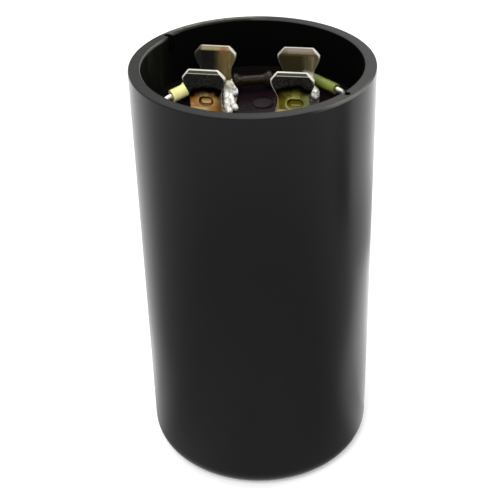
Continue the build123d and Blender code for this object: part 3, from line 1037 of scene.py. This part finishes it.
@dataclass
class ForkTerminal:
    """One U-shaped stamping with two mushroom-tipped blades, rounded edges and pressed dimples."""

    place: Layout
    side: Side
    half_neck: float = 2.3
    tip_corner_width: float = 0.95
    tip_corner_height: float = 1.15
    tip_bevel: float = 0.19
    tip_bevel_drop: float = 0.45
    edge_bevel: float = 0.16
    head_height: float = 1.45
    neck_start: float = 4.1
    neck_end: float = 5.7
    flare_end: float = 7.1
    bend_radius: float = 1.0
    dimple_length: Mapping[Side, float] = field(default_factory=lambda: {Side.LEFT: 2.15, Side.RIGHT: 2.4})
    dimple_shift: Mapping[Side, float] = field(default_factory=lambda: {Side.LEFT: 0.1, Side.RIGHT: 0.3})
    dimple_width: float = 1.45
    dimple_depth: float = 0.3
    dimple_wall: float = 0.16
    lean: float = 0.045
    columns: int = 64
    step: float = 0.1

    def half_at(self, drop: float) -> float:
        """Half the blade's width at a drop below its tip."""
        half = self.place.half_blade
        if drop < self.tip_corner_height:
            return half - self.tip_corner_width * (1 - drop / self.tip_corner_height)
        if drop < self.head_height or drop > self.flare_end:
            return half
        if drop < self.neck_start:
            share = smooth_step(drop, self.head_height, self.neck_start)
        else:
            share = 1 - smooth_step(drop, self.neck_end, self.flare_end)
        return half + (self.half_neck - half) * share

    def spine(self) -> list[tuple[float, float, float, float]]:
        """Follow the strip's middle from the front tip round the base to the back tip.

        Returns:
            Y, Z and the outward direction's Y and Z at each station.
        """
        reach, r = self.place.blade_reach, self.bend_radius
        floor = self.place.disc_top + self.place.strip_thickness / 2
        top, bevel, corner = self.place.blade_top, self.tip_bevel_drop, self.tip_corner_height
        drops = [0.0, 0.06, bevel - 0.04, bevel + 0.04]
        drops += [bevel + (corner - bevel) * k / 6 for k in range(1, 7)]
        length = top - floor - r - corner
        count = int(length / self.step)
        drops += [corner + length * k / count for k in range(1, count + 1)]
        stations = [(-reach, top - d, -1.0, 0.0) for d in drops]
        for k in range(1, 11):
            c, s = math.cos(math.pi / 2 * k / 10), math.sin(math.pi / 2 * k / 10)
            stations.append((-reach + r - r * c, floor + r - r * s, -c, -s))
        across = int((reach - r) / self.step)
        stations += [(-reach + r + (reach - r) * k / across, floor, 0.0, -1.0) for k in range(1, across)]
        mirrored = [(-y, z, -ny, nz) for y, z, ny, nz in reversed(stations)]
        return stations + [(0.0, floor, 0.0, -1.0)] + mirrored

    def section(self, drop: float) -> list[Point3]:
        """Draw the strip's rounded section at a drop below its tip.

        Returns:
            Place across, place outwards and how bare an edge is, for each point round the section.
        """
        half, b = self.half_at(drop), self.edge_bevel
        tip = 1.0 - 0.85 * smooth_step(drop, self.tip_corner_height, self.tip_corner_height + 0.5)
        bevelled = drop < self.tip_bevel_drop
        lip = self.tip_bevel * (1 - smooth_step(drop, 0.0, self.tip_bevel_drop)) if bevelled else 0.0
        thick, near = self.place.strip_thickness / 2 - lip, b * 0.29
        flat = half - b
        end = 0.45 if drop < 1e-6 else 0.0
        last = self.columns
        face = [(-flat + 2 * flat * j / last, end or tip * (j in (0, last))) for j in range(last + 1)]
        side = [
            (half - near, thick - near, tip), (half, thick - b, tip), (half, -thick + b, tip),
            (half - near, -thick + near, tip),
        ]
        there = [(x, thick, mark) for x, mark in face] + side
        return there + [(-x, -thick, mark) for x, mark in face] + [(-x, -out, mark) for x, out, mark in side]

    def bareness_and_edge_light(self, edge: float, x: float, y: float) -> float:
        """How bare a cut edge is: duller on the back blades, with painted shade on the left one's outer side
        and a painted highlight on the left edges of the right fork's front blade.
        """
        if y >= 3:
            outer_left = x < 1.2 - self.place.half_blade and self.side is Side.LEFT
            return edge * (0.2 if outer_left else 0.8)
        if edge > 0.1 and y < -3 and x < 0 and self.side is Side.RIGHT:
            return max(edge, 0.8)
        return edge

    def ring_distance(self, x: float, z: float) -> float:
        """How far a place on a blade's face is from the dimple's wall, less than 0 inside it."""
        across = abs(x - self.dimple_shift[self.side])
        along = max(0.0, across - (self.dimple_length[self.side] - self.dimple_width) / 2)
        return math.hypot(along, z - (self.place.blade_top - self.place.dimple_drop)) - self.dimple_width / 2

    def build(self, finish: Material) -> None:
        """Loft the strip from its sections, station by station."""
        vertices: list[Vector] = []
        strip: list[Point3] = []
        marks: list[Point3] = []
        spine = self.spine()
        for y, z, ny, nz in spine:
            row = self.section(self.place.blade_top - z)
            lean = self.lean * (self.place.blade_top - z) * max(0.0, -y / self.place.blade_reach)
            for x, out, edge in row:
                wall = self.ring_distance(x, z) if abs(ny) > 0.9 else 1.0
                off = out - self.dimple_depth * (1 - smooth_step(wall, -self.dimple_wall, 0.0))
                strip.append((x, y, z))
                marks.append((self.bareness_and_edge_light(edge, x, y), 0.0 if out < 0 else 1.0, min(1.0, wall)))
                vertices.append(self.place.on_fork(self.side, x + lean, y + ny * off, z + nz * off))
        faces = ring_faces(len(spine), len(row))
        read = {"strip": strip, "marks": marks}
        piece = solid(f"fork_{self.side.label}", vertices, faces, finish, 55, read)
        seat(piece, "tinned_brass", f"fork_terminal_{self.side.label}")


@dataclass(frozen=True)
class LeadForm:
    """How one lead is formed: corners as a share of the side gap, a way behind the fork, and a rise."""

    corners: Sequence[Point3]
    last_bend: float
    sleeve_radius: float
    sleeve_share: float


LEAD_FORMS = {
    Side.LEFT: LeadForm(((0.18, 1.3, 0.15), (0.2, -1.5, 0.5), (0.69, -3.9, -0.4)), 0.75, 1.0, 0.53),
    Side.RIGHT: LeadForm(((-0.19, 4.8, 0.25), (0.66, -0.6, 0.12)), 1.8, 0.8, 0.66),
}


@dataclass
class BleedResistor:
    """The bleed resistor: lacquered body, two formed leads and their sleeves."""

    place: Layout
    length: float = 6.5
    end_radius: float = 1.3
    waist_radius: float = 0.8
    end_length: float = 0.9
    cap_length: float = 0.5
    cap_share: float = 0.7
    ripple: float = 0.03
    turn: float = 14.0
    lead_radius: float = 0.5
    bend_radius: float = 2.0
    setback: float = 0.35
    sleeve_clearance: float = 0.05
    joint_y: float = -2.3
    joint_inset: float = 1.08
    joint_clearance: float = 0.05

    def __post_init__(self) -> None:
        """Read the body's middle and direction."""
        self.centre = centre_of("resistor_body")
        turn = math.radians(self.turn)
        self.axis = Vector((math.cos(turn), math.sin(turn), 0))

    def route(self, side: Side) -> list[Vector]:
        """Corners of a lead from the body's end to its joint."""
        sign, edge, back = side.value, self.place.fork_edge, self.place.fork_back
        room = self.place.mouth_radius - edge
        points = [self.centre + self.axis * (sign * self.length / 2)]
        for share, behind, rise in LEAD_FORMS[side].corners:
            points.append(Vector((sign * (edge + share * room), back + behind, self.centre.z + rise)))
        joint_z = self.place.base_top + self.joint_clearance + self.lead_radius
        return points + [Vector((sign * (edge - self.joint_inset), self.joint_y, joint_z))]

    def build_body(self, finish: Material) -> None:
        """Turn the lacquered body about its own axis, fuller at both ends than at its waist."""
        half, around, rows = self.length / 2, 56, 80
        across, up = Vector((-self.axis.y, self.axis.x, 0)), Vector((0, 0, 1))

        def place(row: int, a: float) -> Vector:
            """Place a point of the body's skin by its row and angle."""
            x = -half * math.cos(math.pi * row / rows)
            inset = half - abs(x)
            cap = math.sqrt(max(0.0, 1 - (max(0.0, self.cap_length - inset) / self.cap_length) ** 2))
            waist = smooth_step(inset, self.end_length * 0.75, self.end_length + 0.9)
            r = self.end_radius + (self.waist_radius - self.end_radius) * waist
            r *= 1 - self.cap_share + self.cap_share * cap
            lumps = 1 + self.ripple * noise.noise(Vector((x * 1.3, math.cos(a), math.sin(a))))
            return self.centre + self.axis * x + (across * math.cos(a) + up * math.sin(a)) * r * lumps

        skin, faces = lofted(rows + 1, around, place), ring_faces(rows + 1, around)
        seat(solid("resistor_shape", skin, faces, finish), "resistor_coat", "resistor_body")

    def build_lead(self, side: Side, wire: GeometryTree, metal: Material, sleeving: Material) -> None:
        """Run a lead and the sleeve on it."""
        points, form, end = self.route(side), LEAD_FORMS[side], side.label
        bends = [self.bend_radius] * (len(points) - 2) + [form.last_bend, 0.0]
        route = wire_mesh(f"lead_route_{end}", points, closed=False, bends=bends)
        lead = wire.grow(f"lead_{end}", route, metal, Radius=self.lead_radius * MM, Around=28, Capped=True)
        seat(lead, "lead_wire", f"resistor_lead_{end}")
        first = points[0] + (points[1] - points[0]).normalized() * self.setback
        last = points[-3] + (points[-2] - points[-3]) * form.sleeve_share
        route = wire_mesh(f"sleeve_route_{end}", [first, *points[1:-2], last], closed=False, bends=bends[1:])
        radius = form.sleeve_radius
        sleeve = wire.grow(f"sleeve_{end}", route, sleeving, Radius=radius * MM, Around=40, Capped=False)
        wall = sleeve.modifiers.new("wall", "SOLIDIFY")
        wall.thickness = (radius - self.lead_radius - self.sleeve_clearance) * MM
        wall.offset = -1.0
        settle(sleeve).set_sharp_from_angle(angle=math.radians(40))
        seat(sleeve, "sleeving", f"lead_sleeve_{end}")


SOLDER_RUNS = {
    Side.LEFT: (
        (
            (1.9, 3.9, 62.8), (1.72, 3.75, 62.1), (1.75, 3.6, 61.4), (1.9, 2.6, 60.9), (2.25, 0.9, 60.5),
            (2.85, -0.7, 60.4),
        ),
        ((2.0, 3.9, 62.8), (2.35, 3.75, 62.0), (2.4, 3.5, 61.3), (2.5, 2.6, 60.9)),
        ((2.1, 3.9, 62.7), (2.8, 3.7, 62.0), (2.95, 3.5, 61.5)),
        ((2.7, 2.6, 60.9), (3.05, 1.5, 60.5), (3.6, 0.5, 60.42)),
    ),
    Side.RIGHT: (
        ((2.2, 3.9, 61.9), (2.4, 3.7, 61.3)),
        ((2.6, 3.9, 61.85), (2.7, 3.6, 61.2)),
    ),
}


@dataclass
class SolderWork:
    """The solder on one fork: a mound over the lead's end, and runs over the back blade's foot."""

    place: Layout
    side: Side
    mound_radius: float = 1.12
    mound_height: float = 1.15
    mound_lumps: float = 0.12
    run_radius: float = 0.42
    run_lumps: float = 0.25
    run_wrinkle: float = 0.8

    def build_mound(self, finish: Material) -> None:
        """Shape the mound as an uneven dome on the fork's base."""
        node = f"solder_joint_{self.side.label}"
        low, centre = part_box(node)[0] / MM, centre_of(node)
        rings, around = 18, 48

        def place(row: int, a: float) -> Vector:
            """Place a point of the mound's skin by its row and angle."""
            rise = math.pi / 2 * row / rings
            spot = Vector((math.cos(a), math.sin(a), rise + 3 * self.side.value))
            uneven = 1 + self.mound_lumps * noise.noise(spot)
            r = self.mound_radius * uneven * max(0.0, math.cos(rise)) ** 0.8
            height = low.z + self.mound_height * uneven * math.sin(rise)
            return Vector((centre.x + r * math.cos(a), centre.y + r * math.sin(a), height))

        skin, faces = lofted(rings + 1, around, place), ring_faces(rings + 1, around)
        seat(solid(f"solder_{self.side.label}", skin, faces, finish), "solder", node)

    def build_runs(self, flow: GeometryTree, finish: Material) -> None:
        """Run solder down the back blade's foot and over the fork's base."""
        points: list[Vector] = []
        edges: list[tuple[int, int]] = []
        for run in SOLDER_RUNS[self.side]:
            edges += [(len(points) + i, len(points) + i + 1) for i in range(len(run) - 1)]
            points += [self.place.on_fork(self.side, *corner) * MM for corner in run]
        source = bpy.data.meshes.new(f"run_routes_{self.side.label}")
        source.from_pydata(points, edges, [])
        piece = flow.grow(
            f"solder_runs_{self.side.label}", source, finish, Radius=self.run_radius * MM,
            Unevenness=self.run_lumps, Wrinkle=self.run_wrinkle * MM, Seed=4.0 + self.side.value,
        )
        seat(piece, "solder")


@dataclass
class WoundRoll:
    """The foil and paper roll inside the case."""

    turns: int = 22
    bore: float = 2.5
    fill: float = 0.86

    def build(self, roll: GeometryTree, finish: Material) -> None:
        """Wind the roll into the CAD roll's box."""
        low, high = (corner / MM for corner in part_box("winding"))
        pitch = (high.x - self.bore) / self.turns
        source = wire_mesh("roll_seed", [(0, 0, 0), (0, 0, 1)], closed=False)
        piece = roll.grow(
            "wound_roll", source, finish, Turns=float(self.turns), Bore_Radius=(self.bore + pitch / 2) * MM,
            Outer_Radius=(high.x - pitch / 2) * MM, Strip=pitch * self.fill * MM, Bottom=low.z * MM,
            Length=(high.z - low.z) * MM,
        )
        seat(piece, "wound_foil", "winding")


KEPT_PIECES = {
    "disc_gasket": "seal_rubber", "rivet_washer_left": "washer_aluminium",
    "rivet_washer_right": "washer_aluminium", "winding_wrap": "kraft_paper", "top_insulator": "pressboard",
    "anode_tab": "tab_aluminium", "cathode_tab": "tab_aluminium", "bottom_pad": "pressboard",
    "potting": "pitch",
}


class Capacitor:
    """The whole capacitor: finishes first, then every sub-assembly in order."""

    def __init__(self) -> None:
        """Read the layout and make the finishes."""
        self.place = Layout.measured()
        finishes = {
            "case_phenolic": BlackPhenolic(self.place),
            "disc_phenolic": BrownPhenolic(),
            "tinned_brass_left": TinnedBrass(
                self.place, Side.LEFT, flux=("#c48844", "#e8cd88", "#6a4a1c"), flux_rise=1.5, flux_drop=2.75,
                upper_dark_and_ring_shade="#2c1606", pale_highlight="#f4dfa0", pale_from=-3.0, ring_light=0.15,
                painted_reflection=("#131213", "#6a5b38"), painted_reflection_edge=0.3, painted_reflection_drop=6.3,
                lip="#9c9068", lip_drop=0.5, crease=0.0, flush=0.6, edge_film=0.85,
            ),
            "tinned_brass_right": TinnedBrass(
                self.place, Side.RIGHT, flux=("#6b6118", "#c4be66", "#8c925c"), flux_rise=1.5, flux_drop=2.1,
                upper_dark_and_ring_shade="#37340c", pale_highlight="#e8e4a0", pale_from=-1.0, ring_light=1.0,
                painted_reflection=("#2e2a15", "#5a563f"), painted_reflection_edge=0.9, painted_reflection_drop=3.9,
                lip="#94877a", lip_drop=0.75, crease=0.8, flush=0.0, edge_film=0.35,
            ),
            # Tumbled in tin: a soft grey-yellow sheen.
            "rivet_brass": PlainMetal("tinned_brass_rivet", "#94855c", "#c2b48c"),
            # Drawn and dipped: nearly white, clean reflections along the wire.
            "lead_wire": PlainMetal("tinned_copper_wire", "#cfcdc4", "#f2f1ec"),
            "solder": SolderMetal(self.place.base_top + 1.4),
            # Rolled and slit: an even, soft silver.
            "tab_aluminium": PlainMetal("soft_aluminium_strip", "#c8c8c8", "#e0e0e0"),
            "washer_aluminium": PlainMetal("aluminium_washer", "#bcbcbc", "#dcdcdc"),
            # Moulded rubber: dark and nearly without gloss.
            "seal_rubber": DullCoat("nitrile_rubber", "#161616", "#222222", (0.6, 0.8)),
            # Poured by hand: black, lumpy, dull.
            "sealant": DullCoat(
                "sealing_compound", "#050404", "#0a0908", (0.6, 0.8), 1.6, lumps=0.3, shine=0.05
            ),
            "vent_rubber": DullCoat("vent_rubber", "#120b0b", "#20161a", (0.5, 0.7), 0.8, shine=0.15),
            # Dipped lacquer: deep brown with a soft highlight.
            "resistor_coat": DullCoat("brown_lacquer", "#130c05", "#21170a", (0.22, 0.36), 0.9, shine=0.24),
            # Extruded sleeving: an even tint with a faint sheen.
            "sleeving_left": DullCoat("pale_yellow_sleeving", "#d6d084", "#f0eba6", (0.35, 0.55), 0.7),
            "sleeving_right": DullCoat("green_yellow_sleeving", "#526212", "#828c3a", (0.35, 0.55), 0.7),
            # Etched foil on edge: dull grey turns.
            "wound_foil": PlainMetal("etched_foil_roll", "#8f8b80", "#c6c3b9", (0.35, 0.6)),
            # Paper and board: brown, matt, with fibres that run along the sheet.
            "kraft_paper": DullCoat("kraft_paper", "#8d7148", "#b0925f", (0.7, 0.9), 0.5, (1, 1, 6)),
            "pressboard": DullCoat("pressboard", "#7c6644", "#97805a", (0.7, 0.9), 0.6),
            # Poured hot: black and glossy.
            "pitch": DullCoat("poured_pitch", "#0c0a09", "#191512", (0.12, 0.3), 4.0),
        }
        self.finishes = {slot: finish.build() for slot, finish in finishes.items()}

    def dress_kept_pieces(self) -> None:
        """Finish the plain pieces that stay as the frame has them."""
        for node, slot in KEPT_PIECES.items():
            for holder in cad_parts[node].material_slots:
                holder.material = self.finishes[slot]
            log.info("%s: finished as %s", node, slot)

    def build(self) -> None:
        """Build every sub-assembly."""
        turned, wire, flow = turned_tree(), formed_wire_tree(), solder_flow_tree()
        finishes = self.finishes
        MouldedCase(self.place).build(turned, notched_tree(), finishes["case_phenolic"])
        TerminalEnd(self.place).build(turned, finishes)
        resistor = BleedResistor(self.place)
        resistor.build_body(finishes["resistor_coat"])
        for side in Side:
            ForkTerminal(self.place, side).build(finishes[f"tinned_brass_{side.label}"])
            resistor.build_lead(side, wire, finishes["lead_wire"], finishes[f"sleeving_{side.label}"])
            work = SolderWork(self.place, side)
            work.build_mound(finishes["solder"])
            work.build_runs(flow, finishes["solder"])
        WoundRoll().build(wound_roll_tree(), finishes["wound_foil"])
        self.dress_kept_pieces()


# ---- stage, lights and camera


@dataclass
class Studio:
    """A pale floor, a white surround and soft lamps."""

    target: Point3 = (-1.0599, -0.1395, 35.323)
    distance: float = 189.87
    pitch: float = 32.98
    azimuth: float = 7.5
    roll: float = -1.545
    lens: float = 84.64
    lamps_aim: Point3 = (0.0, 0.0, 0.04)
    floor_glow: float = 0.30
    sky_light: float = 0.55

    def lay(self, name: str, reach: float, height: float, finish: Material) -> Piece:
        """Lay a square of the stage.

        Args:
            name: The square's name.
            reach: Half its width in metres.
            height: Its height in metres.
            finish: Its material.

        Returns:
            The square, linked to the scene.
        """
        mesh = bpy.data.meshes.new(name)
        corners = [(-reach, -reach), (reach, -reach), (reach, reach), (-reach, reach)]
        mesh.from_pydata([(x, y, height) for x, y in corners], [], [(0, 1, 2, 3)])
        square = shown(name, mesh)
        mesh.materials.append(finish)
        return square

    def pale_floor(self) -> Material:
        """Make the floor's paint, which stays white to the camera and keeps the shadow."""
        material = bpy.data.materials.new("pale_floor")
        material.use_nodes = True
        paint = Wiring(material.node_tree)
        lift = paint.mask(paint.background_share(), self.floor_glow)
        matt = paint.add("ShaderNodeBsdfDiffuse", Color="#ececec")
        glow = paint.add("ShaderNodeEmission", Color="#ffffff", Strength=lift)
        paint.add("ShaderNodeOutputMaterial", paint.add("ShaderNodeAddShader", matt, glow))
        return material

    def room_shade(self) -> Material:
        """Make the light that comes off the floor: less near the object, and uneven round it.

        Its glow paints the reflections of two pale walls at the sides, each with a lit foot close to the
        object, a band of painted shade before the right one, a little light from the front, and one level
        behind where both sides meet.
        """
        s = Surface("lit_floor_sheet")
        away = s.add(Step.LENGTH, s.mm)
        bearing = s.add(Step.BEARING, s.x, s.mask(s.y, -1.0))
        turned = s.add(Step.ABSOLUTE, bearing)
        far_part = s.add(Step.MULTIPLY_ADD, s.mask((away, 88.0, 114.0)), 0.7, 0.3)
        right_wall = s.mask((bearing, 1.73, 1.83), far_part)
        close = s.mask((away, 60.0, 30.0), 0.55)
        left_edge = s.mask((s.add(Step.SUBTRACT, bearing, close), -1.6, -2.1))
        left_foot = s.mask(left_edge, (away, 52.0, 32.0), 0.36)
        right_edge = s.mask((s.add(Step.ADD, bearing, close), 1.75, 2.1))
        near_part = s.add(Step.MULTIPLY_ADD, s.mask((away, 24.0, 42.0)), 0.45, 0.5)
        right_foot = s.mask(right_edge, (away, 70.0, 58.0), near_part)
        beside = s.mask((bearing, -1.45, -2.0), 0.7)
        for share in (right_wall, left_foot, right_foot):
            beside = s.add(Step.ADD, beside, share)
        round_about = s.add(Step.MIX, s.mask((turned, 2.6, 3.1)), beside, 1.1)
        level = s.add(Step.ADD, s.add(Step.MULTIPLY_ADD, away, 0.0075, 0.3), round_about)
        front = s.mask((turned, 1.1, 0.3), (away, 90.0, 40.0), 0.4)
        # Painted shade: a darker band before the right wall.
        gap = s.mask(
            (bearing, 1.36, 1.54), (bearing, 1.78, 1.71),
            (away, 82.0, 106.0), 0.65,
        )
        level = s.add(Step.SMALLER, s.add(Step.SUBTRACT, s.add(Step.ADD, level, front), gap), 2.4)
        return s.dress(
            Base_Color="#000000", Roughness=1.0, Specular_IOR_Level=0.0, Emission_Color="#ffffff",
            Emission_Strength=level,
        )

    def build_floor(self) -> None:
        """Lay the floor, and over it a sheet that only glossy surfaces show: the room's uneven light."""
        self.lay("floor", 2.5, 0.0, self.pale_floor())
        sheet = self.lay("mirrored_floor", 0.6, 0.0003, self.room_shade())
        sheet.visible_camera = sheet.visible_diffuse = False
        sheet.visible_shadow = sheet.visible_transmission = False

    def build_world(self) -> None:
        """Surround the object with white for what is seen, and a soft level for what it lights."""
        world = bpy.data.worlds.new("white_surround")
        bpy.context.scene.world = world
        world.use_nodes = True
        sky = Wiring(world.node_tree)
        level = sky.add(Step.FIT, sky.background_share(), To_Min=self.sky_light, To_Max=1.0)
        sky.add("ShaderNodeOutputWorld", sky.add("ShaderNodeBackground", Color="#ffffff", Strength=level))

    def lamp(self, name: str, power: float, size: Point2, place: Point3, mirrored: bool = True) -> None:
        """Hang a soft rectangular lamp that faces the object.

        Args:
            name: The lamp's name.
            power: Watts.
            size: Width and height in metres.
            place: Its middle in metres.
            mirrored: Whether glossy surfaces show it.
        """
        data = bpy.data.lights.new(name, "AREA")
        data.shape = "RECTANGLE"
        data.size, data.size_y = size
        data.energy = power
        lamp = shown(name, data)
        lamp.location = place
        lamp.visible_glossy = mirrored
        lamp.rotation_euler = (Vector(self.lamps_aim) - Vector(place)).to_track_quat("-Z", "Y").to_euler()

    def build_camera(self) -> None:
        """Set the camera at the object's portrait angle."""
        data = bpy.data.cameras.new("camera")
        data.sensor_width = 36
        data.lens = self.lens
        data.clip_start, data.clip_end = 0.01, 20
        camera = shown("camera", data)
        a, e = math.radians(self.azimuth), math.radians(self.pitch)
        back = Vector((math.sin(a) * math.cos(e), -math.cos(a) * math.cos(e), math.sin(e)))
        roll = Matrix.Rotation(math.radians(self.roll), 4, "Z")
        turn = (-back).to_track_quat("-Z", "Y").to_matrix().to_4x4() @ roll
        camera.matrix_world = Matrix.Translation((Vector(self.target) + back * self.distance) * MM) @ turn
        bpy.context.scene.camera = camera

    def build(self) -> None:
        """Set the stage."""
        self.build_floor()
        self.build_world()
        self.lamp("overhead_softbox", 1.6, (0.5, 0.5), (-0.12, 0.1, 0.62))
        self.lamp("right_strip", 0.5, (0.06, 0.5), (0.36, 0.10, 0.2))
        self.lamp("front_fill", 3.0, (0.25, 0.25), (-0.05, -0.42, 0.55), mirrored=False)
        self.build_camera()
        bpy.context.scene.view_settings.view_transform = "Standard"


def main() -> None:
    """Dress the capacitor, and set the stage."""
    logging.basicConfig(level=logging.INFO, format="%(name)s: %(message)s")
    Capacitor().build()
    Studio().build()


if __name__ == "__main__":
    main()
